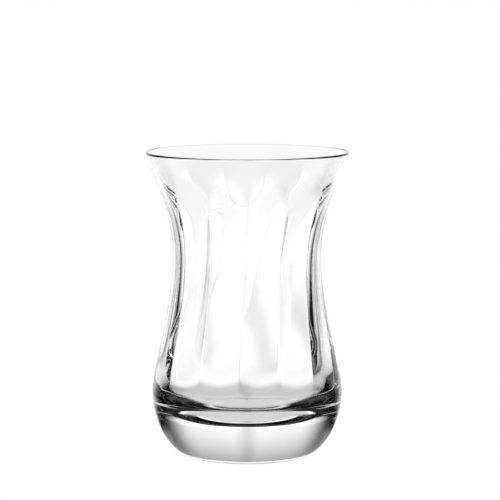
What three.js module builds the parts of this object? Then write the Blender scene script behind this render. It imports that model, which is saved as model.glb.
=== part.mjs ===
// A waisted tea glass: one piece of clear moulded glass with a flared lip, a narrow
// waist, a round belly and a thick solid foot. The outside is smooth. The inside wall
// swells into low round ribs with sharp grooves between them, which lean a little round
// the axis as they rise, and fade out above the floor and under the lip.
// Millimetres, +Z up, with the origin at the middle of the foot.
import * as THREE from "three";

// Driving dimensions of the outside
const HEIGHT = 96.5;
const RIM_RADIUS = 32;
const FLARE_ANGLE = THREE.MathUtils.degToRad(21); // of the wall at the lip, from vertical
const WAIST = { radius: 23.6, height: 62.2 };
const BELLY = { radius: 30.1, height: 20.1 };
const FOOT_RADIUS = 17.2;

// How far each curve of the outside keeps to its end's direction
const FLARE_REACH = 12.4;
const WAIST_REACH = { up: 12.7, down: 15.5 };
const BELLY_REACH = { up: 7.5, down: 8.9 };
const FOOT_REACH = 6.9;

// Wall, measured in the grooves, and floor
const LIP_THICKNESS = 1;
const WAIST_WALL = 1.4;
const BELLY_WALL = 5; // where the wall meets the round of the floor
const FLOOR_HEIGHT = 13.1; // at the edge of the inside floor
const FLOOR_DISH = 0.3; // how far the middle of the floor lies below its edge
const CORNER = { width: 16, height: 10 }; // where the inside wall rounds into the floor
const ROUND_CORNER = 0.5523; // reach of a curve that stands for a quarter of an oval, by its size

// Ribs of the inside wall
const RIBS = 13;
const RIB_HEIGHT = 1; // from the groove to the crest
const RIB_LEAN = THREE.MathUtils.degToRad(0.13); // for each millimetre of height
const FIRST_GROOVE = THREE.MathUtils.degToRad(11.1); // from +X, on the plane of the foot
const RIBS_RISE = { from: 20, full: 38 };
const RIBS_FADE = { from: 76, gone: 91 };

// Fineness of the faceted solid
const STEPS_PER_RIB = 8;
const CURVE_STEPS = { heel: 8, wall: 8, lip: 4, corner: 6, floor: 2 };

// Directions along and across the wall at the lip, as radius and height
const alongLip = new THREE.Vector2(Math.sin(FLARE_ANGLE), Math.cos(FLARE_ANGLE));
const acrossLip = new THREE.Vector2(Math.cos(FLARE_ANGLE), -Math.sin(FLARE_ANGLE));
const lipCentre = new THREE.Vector2(
  RIM_RADIUS - LIP_THICKNESS / 2,
  HEIGHT - LIP_THICKNESS / 2,
);

// The point of the lip's round edge that lies on the outside (+1) or the inside (-1)
function lipEnd(side) {
  return lipCentre.clone().addScaledVector(acrossLip, (side * LIP_THICKNESS) / 2);
}

function curvePoints(start, startHandle, endHandle, end, steps) {
  return new THREE.CubicBezierCurve(start, startHandle, endHandle, end).getPoints(steps);
}

// From the middle of the foot, over the belly and the waist, to the outside of the lip
function outsideProfile() {
  const axis = new THREE.Vector2(0, 0);
  const foot = new THREE.Vector2(FOOT_RADIUS, 0);
  const belly = new THREE.Vector2(BELLY.radius, BELLY.height);
  const waist = new THREE.Vector2(WAIST.radius, WAIST.height);
  const lip = lipEnd(1);
  const heel = curvePoints(
    foot,
    new THREE.Vector2(FOOT_RADIUS + FOOT_REACH, 0),
    new THREE.Vector2(BELLY.radius, BELLY.height - BELLY_REACH.down),
    belly,
    CURVE_STEPS.heel,
  );
  const side = curvePoints(
    belly,
    new THREE.Vector2(BELLY.radius, BELLY.height + BELLY_REACH.up),
    new THREE.Vector2(WAIST.radius, WAIST.height - WAIST_REACH.down),
    waist,
    CURVE_STEPS.wall,
  );
  const flare = curvePoints(
    waist,
    new THREE.Vector2(WAIST.radius, WAIST.height + WAIST_REACH.up),
    lip.clone().addScaledVector(alongLip, -FLARE_REACH),
    lip,
    CURVE_STEPS.wall,
  );
  return [axis, ...heel, ...side.slice(1), ...flare.slice(1)];
}

// The round edge of the lip, without its two ends
function lipProfile() {
  const edge = new THREE.Path().absarc(
    lipCentre.x,
    lipCentre.y,
    LIP_THICKNESS / 2,
    -FLARE_ANGLE,
    Math.PI - FLARE_ANGLE,
    false,
  );
  return edge.getPoints(CURVE_STEPS.lip).slice(1, -1);
}

// From the inside of the lip down to the middle of the floor, along a groove
function insideProfile() {
  const lip = lipEnd(-1);
  const waist = new THREE.Vector2(WAIST.radius - WAIST_WALL, WAIST.height);
  const wallFoot = new THREE.Vector2(
    BELLY.radius - BELLY_WALL,
    FLOOR_HEIGHT + CORNER.height,
  );
  const floorEdge = new THREE.Vector2(wallFoot.x - CORNER.width, FLOOR_HEIGHT);
  const floorMiddle = new THREE.Vector2(0, FLOOR_HEIGHT - FLOOR_DISH);
  const flare = curvePoints(
    lip,
    lip.clone().addScaledVector(alongLip, -FLARE_REACH),
    new THREE.Vector2(waist.x, waist.y + WAIST_REACH.up),
    waist,
    CURVE_STEPS.wall,
  );
  const side = curvePoints(
    waist,
    new THREE.Vector2(waist.x, waist.y - WAIST_REACH.down),
    new THREE.Vector2(wallFoot.x, wallFoot.y + BELLY_REACH.up),
    wallFoot,
    CURVE_STEPS.wall,
  );
  const corner = curvePoints(
    wallFoot,
    new THREE.Vector2(wallFoot.x, wallFoot.y - CORNER.height * ROUND_CORNER),
    new THREE.Vector2(floorEdge.x + CORNER.width * ROUND_CORNER, floorEdge.y),
    floorEdge,
    CURVE_STEPS.corner,
  );
  const floor = curvePoints(
    floorEdge,
    new THREE.Vector2((floorEdge.x * 2) / 3, floorEdge.y),
    new THREE.Vector2(floorEdge.x / 3, floorMiddle.y),
    floorMiddle,
    CURVE_STEPS.floor,
  );
  return [...flare, ...side.slice(1), ...corner.slice(1), ...floor.slice(1)];
}

// How far the ribs' crests stand in from the grooves at a height
function ribHeightAt(height) {
  const risen = THREE.MathUtils.smoothstep(height, RIBS_RISE.from, RIBS_RISE.full);
  const faded = THREE.MathUtils.smoothstep(height, RIBS_FADE.from, RIBS_FADE.gone);
  return RIB_HEIGHT * risen * (1 - faded);
}

// A rib's round back across its width: nothing in the grooves, one at the crest
function ribBack(share) {
  return 4 * share * (1 - share);
}

// The whole wall, spun round the axis. Its rings turn with height, so that the facets
// follow the grooves, and the inside rings swell inwards between the grooves.
function glassGeometry() {
  const outside = outsideProfile();
  const inside = insideProfile();
  const profile = [...outside, ...lipProfile(), ...inside];
  const firstInside = profile.length - inside.length;
  const columns = RIBS * STEPS_PER_RIB;
  const geometry = new THREE.LatheGeometry(profile, columns);
  const position = geometry.getAttribute("position");
  for (let i = 0; i < position.count; i++) {
    const ring = i % profile.length;
    const column = Math.floor(i / profile.length);
    const point = profile[ring];
    const share = (column % STEPS_PER_RIB) / STEPS_PER_RIB;
    const swell = ring < firstInside ? 0 : ribHeightAt(point.y) * ribBack(share);
    const radius = point.x - swell;
    const angle = FIRST_GROOVE + (2 * Math.PI * column) / columns + RIB_LEAN * point.y;
    position.setXYZ(i, radius * Math.cos(angle), radius * Math.sin(angle), point.y);
  }
  geometry.computeVertexNormals();
  return geometry;
}

const clearGlass = new THREE.MeshStandardMaterial({
  color: 0xf3f6f5,
  roughness: 0.03,
  metalness: 0,
  transparent: true,
  opacity: 0.35,
});

const glass = new THREE.Mesh(glassGeometry(), clearGlass);
glass.name = "glass";

const teaGlass = new THREE.Group();
teaGlass.add(glass);

export default teaGlass;
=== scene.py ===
import math

import bpy
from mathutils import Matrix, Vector


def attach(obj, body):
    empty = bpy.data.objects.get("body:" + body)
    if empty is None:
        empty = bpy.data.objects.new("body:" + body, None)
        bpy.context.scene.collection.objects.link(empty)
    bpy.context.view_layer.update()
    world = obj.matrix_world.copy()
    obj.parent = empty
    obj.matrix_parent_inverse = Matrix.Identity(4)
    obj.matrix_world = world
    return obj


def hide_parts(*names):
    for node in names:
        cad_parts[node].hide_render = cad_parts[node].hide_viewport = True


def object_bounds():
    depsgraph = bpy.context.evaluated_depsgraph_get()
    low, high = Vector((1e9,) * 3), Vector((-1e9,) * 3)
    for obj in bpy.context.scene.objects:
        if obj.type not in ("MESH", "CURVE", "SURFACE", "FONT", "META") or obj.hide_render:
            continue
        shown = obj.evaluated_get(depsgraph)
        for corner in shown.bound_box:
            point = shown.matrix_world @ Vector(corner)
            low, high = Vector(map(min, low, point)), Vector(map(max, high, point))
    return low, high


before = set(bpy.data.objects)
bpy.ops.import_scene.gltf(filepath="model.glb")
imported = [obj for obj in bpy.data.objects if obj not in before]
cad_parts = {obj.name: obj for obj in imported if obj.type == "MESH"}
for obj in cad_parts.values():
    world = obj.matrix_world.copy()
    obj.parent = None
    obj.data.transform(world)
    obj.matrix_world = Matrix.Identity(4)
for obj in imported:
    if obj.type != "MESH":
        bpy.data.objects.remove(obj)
cad_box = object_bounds()

# The glass.
# One piece of clear soda-lime glass, pressed in a mould and fire polished at the lip.
# The outside is smooth. The inside wall swells into low leaning ribs and thickens down to a solid foot.

HEIGHT = cad_box[1][2]  # of the CAD's highest corner
RIM_RADIUS = 0.032
FLARE_ANGLE = math.radians(21)  # of the wall at the lip, from vertical
WAIST_RADIUS, WAIST_HEIGHT = 0.0236, 0.0622
BELLY_RADIUS, BELLY_HEIGHT = 0.0301, 0.0201
FOOT_RADIUS = 0.0172

# How far each curve of the profile keeps to its end's direction
FLARE_REACH = 0.0124
WAIST_REACH_UP, WAIST_REACH_DOWN = 0.0127, 0.0155
BELLY_REACH_UP, BELLY_REACH_DOWN = 0.0075, 0.0089
FOOT_REACH = 0.0069
ROUND_REACH = 0.5523  # of a quarter of an oval, by its size
EVEN_REACH = 1 / 3  # of a curve that runs evenly, by its length

LIP_ROUND = 0.0005
WAIST_WALL, BELLY_WALL = 0.0014, 0.005  # in the grooves, and where the wall meets the round of the floor
FLOOR_HEIGHT, FLOOR_DISH = 0.0131, 0.0003  # of the floor's edge, and how far its middle lies below that
CORNER_WIDTH, CORNER_HEIGHT = 0.016, 0.010  # of the round between the inside wall and the floor

CURVE_STEPS = 22
STEPS_PER_RIB = 24
CLOSE_SEAMS = 1e-6  # points nearer than this become one

GLASS_IOR, GLASS_CLEARNESS = 1.52, 1.0
GLASS_COLOUR, CORD_COLOUR = (0.998, 0.999, 0.9985, 1), (0.993, 0.996, 0.9945, 1)
WAVE_STRETCH = (1, 1, 0.3)  # waves and cords are drawn out upwards
WAVE_SCALE, WAVE_DETAIL, WAVE_DEPTH = 90, 1.0, 0.00004
CORD_SCALE, CORD_FROM, CORD_FULL = 160, 0.4, 0.7
SMEAR_SCALE, SMEAR_FROM, SMEAR_FULL = 70, 0.5, 0.8
SMEAR_ROUGHNESS = 0.012
RING_HEIGHT, RING_WIDTH = 0.0006, 0.003  # of the dulled ring that the glass stands on
RING_ROUGHNESS, SCRATCH_SCALE = 0.5, 900
MIX_FIRST, MIX_SECOND, MIX_RESULT = 6, 7, 2  # a Mix node's sockets for colours


class Wire:
    """A node's output. Sums on it add Math nodes to its tree."""

    def __init__(self, tree, socket):
        self.tree = tree
        self.socket = socket

    @classmethod
    def node(cls, tree, kind, settings, sockets, output=0):
        """Any other node: its settings come first, then its sockets' values and links."""
        node = tree.nodes.new(kind)
        for name, value in settings.items():
            setattr(node, name, value)
        for name, value in sockets.items():
            if isinstance(value, Wire):
                tree.links.new(value.socket, node.inputs[name])
            else:
                node.inputs[name].default_value = value
        return cls(tree, node.outputs[output]) if node.outputs else None

    def maths(self, operation, first, second=0.0):
        return Wire.node(self.tree, "ShaderNodeMath", {"operation": operation}, {0: first, 1: second})

    def __add__(self, other):
        return self.maths("ADD", self, other)

    def __radd__(self, other):
        return self.maths("ADD", other, self)

    def __sub__(self, other):
        return self.maths("SUBTRACT", self, other)

    def __rsub__(self, other):
        return self.maths("SUBTRACT", other, self)

    def __mul__(self, other):
        return self.maths("MULTIPLY", self, other)

    def __rmul__(self, other):
        return self.maths("MULTIPLY", other, self)

    def __truediv__(self, other):
        return self.maths("DIVIDE", self, other)

    def __rtruediv__(self, other):
        return self.maths("DIVIDE", other, self)

    def function(self, operation):
        return self.maths(operation, self)

    def step_up(self, start, end):
        """Nothing before the start, one after the end, and a smooth climb between them."""
        return Wire.node(self.tree, "ShaderNodeMapRange", {"interpolation_type": "SMOOTHSTEP"},
                         {"Value": self, "From Min": start, "From Max": end})


def glass_profile():
    """Half the glass's cut face, from the middle of the foot round the lip to the inside floor."""
    along = Vector((math.sin(FLARE_ANGLE), 0, math.cos(FLARE_ANGLE)))
    across = Vector((math.cos(FLARE_ANGLE), 0, -math.sin(FLARE_ANGLE)))
    out, up = Vector((1, 0, 0)), Vector((0, 0, 1))
    lip = Vector((RIM_RADIUS - LIP_ROUND, 0, HEIGHT - LIP_ROUND))
    lip_reach = LIP_ROUND * ROUND_REACH
    inside_waist = (WAIST_RADIUS - WAIST_WALL) * out + WAIST_HEIGHT * up
    wall_foot = (BELLY_RADIUS - BELLY_WALL) * out + (FLOOR_HEIGHT + CORNER_HEIGHT) * up
    floor_edge = wall_foot - CORNER_WIDTH * out - CORNER_HEIGHT * up
    floor_reach = floor_edge.x * EVEN_REACH * out
    # Each point has its place, the reach of its curve before and after it, and its share of the ribs
    points = [
        (Vector((0, 0, 0)), None, None, 0),
        (FOOT_RADIUS * out, None, FOOT_REACH * out, 0),
        (BELLY_RADIUS * out + BELLY_HEIGHT * up, -BELLY_REACH_DOWN * up, BELLY_REACH_UP * up, 0),
        (WAIST_RADIUS * out + WAIST_HEIGHT * up, -WAIST_REACH_DOWN * up, WAIST_REACH_UP * up, 0),
        (lip + LIP_ROUND * across, -FLARE_REACH * along, lip_reach * along, 0),
        (lip + LIP_ROUND * along, lip_reach * across, -lip_reach * across, 0),
        (lip - LIP_ROUND * across, lip_reach * along, -FLARE_REACH * along, 1),
        (inside_waist, WAIST_REACH_UP * up, -WAIST_REACH_DOWN * up, 1),
        (wall_foot, BELLY_REACH_UP * up, -CORNER_HEIGHT * ROUND_REACH * up, 1),
        (floor_edge, CORNER_WIDTH * ROUND_REACH * out, -floor_reach, 1),
        ((FLOOR_HEIGHT - FLOOR_DISH) * up, floor_reach, None, 1),
    ]
    curve = bpy.data.curves.new("glass_profile", "CURVE")
    curve.dimensions = "3D"
    curve.resolution_u = CURVE_STEPS
    spline = curve.splines.new("BEZIER")
    spline.bezier_points.add(len(points) - 1)
    for point, (place, before, after, ribbed) in zip(spline.bezier_points, points):
        point.co = place
        point.radius = ribbed
        point.handle_left_type = "FREE" if before else "VECTOR"
        point.handle_right_type = "FREE" if after else "VECTOR"
        if before:
            point.handle_left = place + before
        if after:
            point.handle_right = place + after
    return curve


def clear_glass():
    """Colourless glass with faint waves, cords and smears, and a bearing ring dulled by use."""
    material = bpy.data.materials.new("clear_glass")
    material.use_nodes = True
    tree = material.node_tree
    tree.nodes.clear()
    spot = Wire.node(tree, "ShaderNodeTexCoord", {}, {}, "Object")
    drawn_out = Wire.node(tree, "ShaderNodeVectorMath", {"operation": "MULTIPLY"},
                          {0: spot, 1: WAVE_STRETCH})
    waves = Wire.node(tree, "ShaderNodeTexNoise", {},
                      {"Vector": drawn_out, "Scale": WAVE_SCALE, "Detail": WAVE_DETAIL})
    waved = Wire.node(tree, "ShaderNodeBump", {}, {"Height": waves, "Distance": WAVE_DEPTH})
    cords = Wire.node(tree, "ShaderNodeTexNoise", {}, {"Vector": drawn_out, "Scale": CORD_SCALE})
    cords = cords.step_up(CORD_FROM, CORD_FULL)
    colour = Wire.node(tree, "ShaderNodeMix", {"data_type": "RGBA"},
                       {"Factor": cords, MIX_FIRST: GLASS_COLOUR, MIX_SECOND: CORD_COLOUR}, MIX_RESULT)
    smears = Wire.node(tree, "ShaderNodeTexNoise", {}, {"Vector": spot, "Scale": SMEAR_SCALE})
    smears = smears.step_up(SMEAR_FROM, SMEAR_FULL)
    scratches = Wire.node(tree, "ShaderNodeTexNoise", {}, {"Vector": spot, "Scale": SCRATCH_SCALE})
    up = Wire.node(tree, "ShaderNodeSeparateXYZ", {}, {0: spot}, "Z")
    away = Wire.node(tree, "ShaderNodeVectorMath", {"operation": "LENGTH"}, {0: spot}, "Value")
    bearing = (1 - up.step_up(0, RING_HEIGHT)) * away.step_up(FOOT_RADIUS - RING_WIDTH, FOOT_RADIUS)
    roughness = SMEAR_ROUGHNESS * smears + RING_ROUGHNESS * bearing * scratches
    shader = Wire.node(tree, "ShaderNodeBsdfPrincipled", {},
                       {"Base Color": colour, "Roughness": roughness, "Normal": waved,
                        "IOR": GLASS_IOR, "Transmission Weight": GLASS_CLEARNESS})
    Wire.node(tree, "ShaderNodeOutputMaterial", {}, {"Surface": shader})
    return material


# The wall's own tree spins the profile round the axis and swells the inside between the grooves
wall = bpy.data.node_groups.new("glass_wall", "GeometryNodeTree")
wall.is_modifier = True
wall.interface.new_socket("Profile", in_out="INPUT", socket_type="NodeSocketGeometry")
wall.interface.new_socket("Wall", in_out="OUTPUT", socket_type="NodeSocketGeometry")
wall_values = {}
for name, kind, value in (
    ("Ribs", "NodeSocketInt", 13),
    ("Steps per rib", "NodeSocketInt", STEPS_PER_RIB),
    ("Rib height", "NodeSocketFloat", 0.0010),
    ("Lean per metre", "NodeSocketFloat", math.radians(130)),
    ("First groove", "NodeSocketFloat", math.radians(11.1)),
    ("Ribs rise from", "NodeSocketFloat", 0.020),
    ("Ribs full from", "NodeSocketFloat", 0.038),
    ("Ribs full to", "NodeSocketFloat", 0.076),
    ("Ribs gone at", "NodeSocketFloat", 0.091),
    ("Finish", "NodeSocketMaterial", clear_glass()),
):
    socket = wall.interface.new_socket(name, in_out="INPUT", socket_type=kind)
    wall_values[socket.identifier] = value
given = wall.nodes.new("NodeGroupInput").outputs


def wall_node(kind, settings, sockets, output=0):
    return Wire.node(wall, kind, settings, sockets, output)


def wall_input(name):
    return Wire(wall, given[name])


# A flat sheet, with a row for each point of the profile and a column for each step round the axis
profile = wall_node("GeometryNodeResampleCurve", {"mode": "EVALUATED"}, {"Curve": wall_input("Profile")})
rows = wall_node("GeometryNodeAttributeDomainSize", {"component": "CURVE"}, {"Geometry": profile})
columns = wall_input("Ribs") * wall_input("Steps per rib")
sheet = wall_node("GeometryNodeMeshGrid", {}, {"Vertices X": columns + 1, "Vertices Y": rows})
index = wall_node("GeometryNodeInputIndex", {}, {})
column = wall_node("FunctionNodeIntegerMath", {"operation": "DIVIDE_FLOOR"}, {0: index, 1: rows})
row = wall_node("FunctionNodeIntegerMath", {"operation": "MODULO"}, {0: index, 1: rows})
place = wall_node("GeometryNodeInputPosition", {}, {})
rib_share = wall_node("GeometryNodeInputRadius", {}, {})
row_place = wall_node("GeometryNodeSampleIndex", {"data_type": "FLOAT_VECTOR", "domain": "POINT"},
                      {"Geometry": profile, "Value": place, "Index": row})
ribbed = wall_node("GeometryNodeSampleIndex", {"data_type": "FLOAT", "domain": "POINT"},
                   {"Geometry": profile, "Value": rib_share, "Index": row})
out = wall_node("ShaderNodeSeparateXYZ", {}, {0: row_place}, "X")
height = wall_node("ShaderNodeSeparateXYZ", {}, {0: row_place}, "Z")

# A rib's round back is nothing in the grooves and one at the crest
share = (column / wall_input("Steps per rib")).function("FRACT")
back = 4 * share * (1 - share)
risen = height.step_up(wall_input("Ribs rise from"), wall_input("Ribs full from"))
faded = height.step_up(wall_input("Ribs full to"), wall_input("Ribs gone at"))
swell = ribbed * wall_input("Rib height") * risen * (1 - faded) * back
angle = wall_input("First groove") + column / columns * math.tau + wall_input("Lean per metre") * height
radius = out - swell
spun = wall_node("ShaderNodeCombineXYZ", {}, {"X": radius * angle.function("COSINE"),
                                              "Y": radius * angle.function("SINE"), "Z": height})
shaped = wall_node("GeometryNodeSetPosition", {}, {"Geometry": sheet, "Position": spun})
closed = wall_node("GeometryNodeMergeByDistance", {}, {"Geometry": shaped, "Distance": CLOSE_SEAMS})
smooth = wall_node("GeometryNodeSetShadeSmooth", {}, {0: closed})
real = wall_node("GeometryNodeRealizeInstances", {}, {0: smooth})
finished = wall_node("GeometryNodeSetMaterial", {}, {"Geometry": real, "Material": wall_input("Finish")})
wall_node("NodeGroupOutput", {}, {"Wall": finished})

pattern = bpy.data.objects.new("glass_pattern", glass_profile())
bpy.context.scene.collection.objects.link(pattern)
spin = pattern.modifiers.new("glass_wall", "NODES")
spin.node_group = wall
for identifier, value in wall_values.items():
    spin[identifier] = value
graph = bpy.context.evaluated_depsgraph_get()
glass_mesh = bpy.data.meshes.new_from_object(pattern.evaluated_get(graph), depsgraph=graph)
glass_mesh.name = "tea_glass"
pattern.modifiers.remove(spin)
bpy.data.objects.remove(pattern)

glass = bpy.data.objects.new("tea_glass", glass_mesh)
bpy.context.scene.collection.objects.link(glass)
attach(glass, "root")
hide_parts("glass")

# The table top.
# A plain white disc, loose under the glass, that shines softly and that the camera sees as plain white.
# The glass sees it bright behind and far out, with a painted shadow under the foot, and dark close by at
# the sides.

TABLE_RADIUS = 0.5
TABLE_SIDES = 96
TABLE_DROP = 0.0002  # below the foot
TABLE_BRIGHT = 1.15

# Turns are measured from straight behind the glass to both sides, and distances from its axis
# Painted shadow of the glass on the table, under and around its foot
UNDER_SHADE = 0.38  # of the table under the glass
UNDER_TO, OPEN_FROM = 0.042, 0.058
SIDE_NEAR, SIDE_FAR = 0.030, 0.048  # where the dark sides begin
SIDE_FROM, SIDE_TO = math.radians(32), math.radians(62)
FRONT_SHARE = 0.3  # of the table's light that is left in front of the glass
FRONT_FROM, FRONT_TO = math.radians(150), math.radians(170)
OUTER_SHARE = 0.9  # of the table's light that is left far out, beside and in front of the glass
OUTER_NEAR, OUTER_FAR = 0.13, 0.24
OUTER_FROM, OUTER_TO = math.radians(66), math.radians(86)
FAR_SHADE = 0.25  # of the table far out to both sides
FAR_FROM, FAR_TO = 0.10, 0.22
GAP_SHADE = 0.19  # of a dimmer strip straight behind the glass
GAP_FROM, GAP_TO = math.radians(0.5), math.radians(6)

table_mesh = bpy.data.meshes.new("table_top")
table_edge = []
for step in range(TABLE_SIDES):
    edge_turn = math.tau * step / TABLE_SIDES
    table_edge.append((TABLE_RADIUS * math.cos(edge_turn), TABLE_RADIUS * math.sin(edge_turn), -TABLE_DROP))
table_mesh.from_pydata(table_edge, [], [range(TABLE_SIDES)])
table = bpy.data.objects.new("table_top", table_mesh)
bpy.context.scene.collection.objects.link(table)
table_glow = bpy.data.materials.new("white_table")
table_glow.use_nodes = True
tree = table_glow.node_tree
tree.nodes.clear()
spot = Wire.node(tree, "ShaderNodeTexCoord", {}, {}, "Object")
sideways = Wire.node(tree, "ShaderNodeSeparateXYZ", {}, {0: spot}, "X").function("ABSOLUTE")
behind = Wire.node(tree, "ShaderNodeSeparateXYZ", {}, {0: spot}, "Y")
away = Wire.node(tree, "ShaderNodeVectorMath", {"operation": "LENGTH"}, {0: spot}, "Value")
turn = sideways.maths("ARCTAN2", sideways, behind)
middle = 1 - turn.step_up(GAP_FROM, GAP_TO)
# Where the painted shadow of the glass falls, under and around its foot
under = 1 - away.step_up(UNDER_TO, OPEN_FROM)
front = turn.step_up(FRONT_FROM, FRONT_TO)
outer = away.step_up(OUTER_NEAR, OUTER_FAR) * turn.step_up(OUTER_FROM, OUTER_TO)
beside = turn.step_up(SIDE_FROM, SIDE_TO) * away.step_up(SIDE_NEAR, SIDE_FAR)
beside = beside * (1 - FRONT_SHARE * front) * (1 - OUTER_SHARE * outer)
far = sideways.step_up(FAR_FROM, FAR_TO)
glow = TABLE_BRIGHT * (1 - GAP_SHADE * middle) * (1 - UNDER_SHADE * under)
glow = glow * (1 - beside) * (1 - FAR_SHADE * far)
seen = Wire.node(tree, "ShaderNodeLightPath", {}, {}, "Is Camera Ray")
strength = seen + (1 - seen) * glow
shine = Wire.node(tree, "ShaderNodeEmission", {}, {"Strength": strength})
Wire.node(tree, "ShaderNodeOutputMaterial", {}, {"Surface": shine})
table.data.materials.append(table_glow)

# The studio.
# A broad white backdrop, brightest low down, with the table's dimmer strip up its middle.
# Ground runs on beside and in front, under dim lights. The rest is dark, but plain white to the camera.

BACKDROP_BRIGHT = 1.27
BACKDROP_TOP_FROM, BACKDROP_TOP_TO = math.radians(-8), math.radians(56)
BACKDROP_SIDE_FROM, BACKDROP_SIDE_TO = math.radians(26), math.radians(54)
GROUND_SHARE = 0.66  # of the backdrop's light that the ground has
GROUND_TOP_FROM, GROUND_TOP_TO = math.radians(-4.5), math.radians(-2.5)
FILL_BRIGHT = 0.03
FILL_SIDES = 4  # lights all round, of which the backdrop stands for the first
FILL_FROM, FILL_TO = math.radians(45), math.radians(60)
FILL_TOP_FROM, FILL_TOP_TO = math.radians(30), math.radians(60)
STUDIO_WHITE = (1, 1, 1, 1)
LIGHT_BOUNCES = 24

studio = bpy.data.worlds.new("studio")
bpy.context.scene.world = studio
studio.use_nodes = True
tree = studio.node_tree
tree.nodes.clear()
towards = Wire.node(tree, "ShaderNodeTexCoord", {}, {}, "Generated")
right = Wire.node(tree, "ShaderNodeSeparateXYZ", {}, {0: towards}, "X")
behind = Wire.node(tree, "ShaderNodeSeparateXYZ", {}, {0: towards}, "Y")
above = Wire.node(tree, "ShaderNodeSeparateXYZ", {}, {0: towards}, "Z")
turn = right.maths("ARCTAN2", right, behind).function("ABSOLUTE")
climb = above.function("ARCSINE")
middle = 1 - turn.step_up(GAP_FROM, GAP_TO)
beside = turn.step_up(BACKDROP_SIDE_FROM, BACKDROP_SIDE_TO)
low = 1 - climb.step_up(GROUND_TOP_FROM, GROUND_TOP_TO)
ground = GROUND_SHARE * low * turn.step_up(OUTER_FROM, OUTER_TO)
backdrop = BACKDROP_BRIGHT * (1 - GAP_SHADE * middle) * (1 - beside * (1 - ground))
backdrop = backdrop * (1 - climb.step_up(BACKDROP_TOP_FROM, BACKDROP_TOP_TO))
lamps = (1 + (turn * FILL_SIDES).function("COSINE")) / 2
fill = FILL_BRIGHT * lamps * turn.step_up(FILL_FROM, FILL_TO)
fill = fill * (1 - climb.step_up(FILL_TOP_FROM, FILL_TOP_TO))
seen = Wire.node(tree, "ShaderNodeLightPath", {}, {}, "Is Camera Ray")
strength = seen + (1 - seen) * (backdrop + fill)
light = Wire.node(tree, "ShaderNodeBackground", {}, {"Color": STUDIO_WHITE, "Strength": strength})
Wire.node(tree, "ShaderNodeOutputWorld", {}, {"Surface": light})

scene = bpy.context.scene
scene.view_settings.view_transform = "Standard"
scene.cycles.max_bounces = LIGHT_BOUNCES
scene.cycles.transmission_bounces = LIGHT_BOUNCES
scene.cycles.glossy_bounces = LIGHT_BOUNCES

# The camera.
# It stands in front of the glass, a little above the rim, and looks down at it as the photograph does.

CAMERA_PLACE = (0, -0.9, 0.16739)
CAMERA_TILT = math.radians(6.472)  # down from level
CAMERA_LENS, CAMERA_SENSOR = 206.7, 36  # in millimetres
CAMERA_SHIFT = 0.0058  # to the right, as a share of the picture

camera_data = bpy.data.cameras.new("camera")
camera_data.lens = CAMERA_LENS
camera_data.sensor_width = CAMERA_SENSOR
camera_data.shift_x = CAMERA_SHIFT
camera = bpy.data.objects.new("camera", camera_data)
camera.location = CAMERA_PLACE
camera.rotation_euler = (math.pi / 2 - CAMERA_TILT, 0, 0)
scene.collection.objects.link(camera)
scene.camera = camera
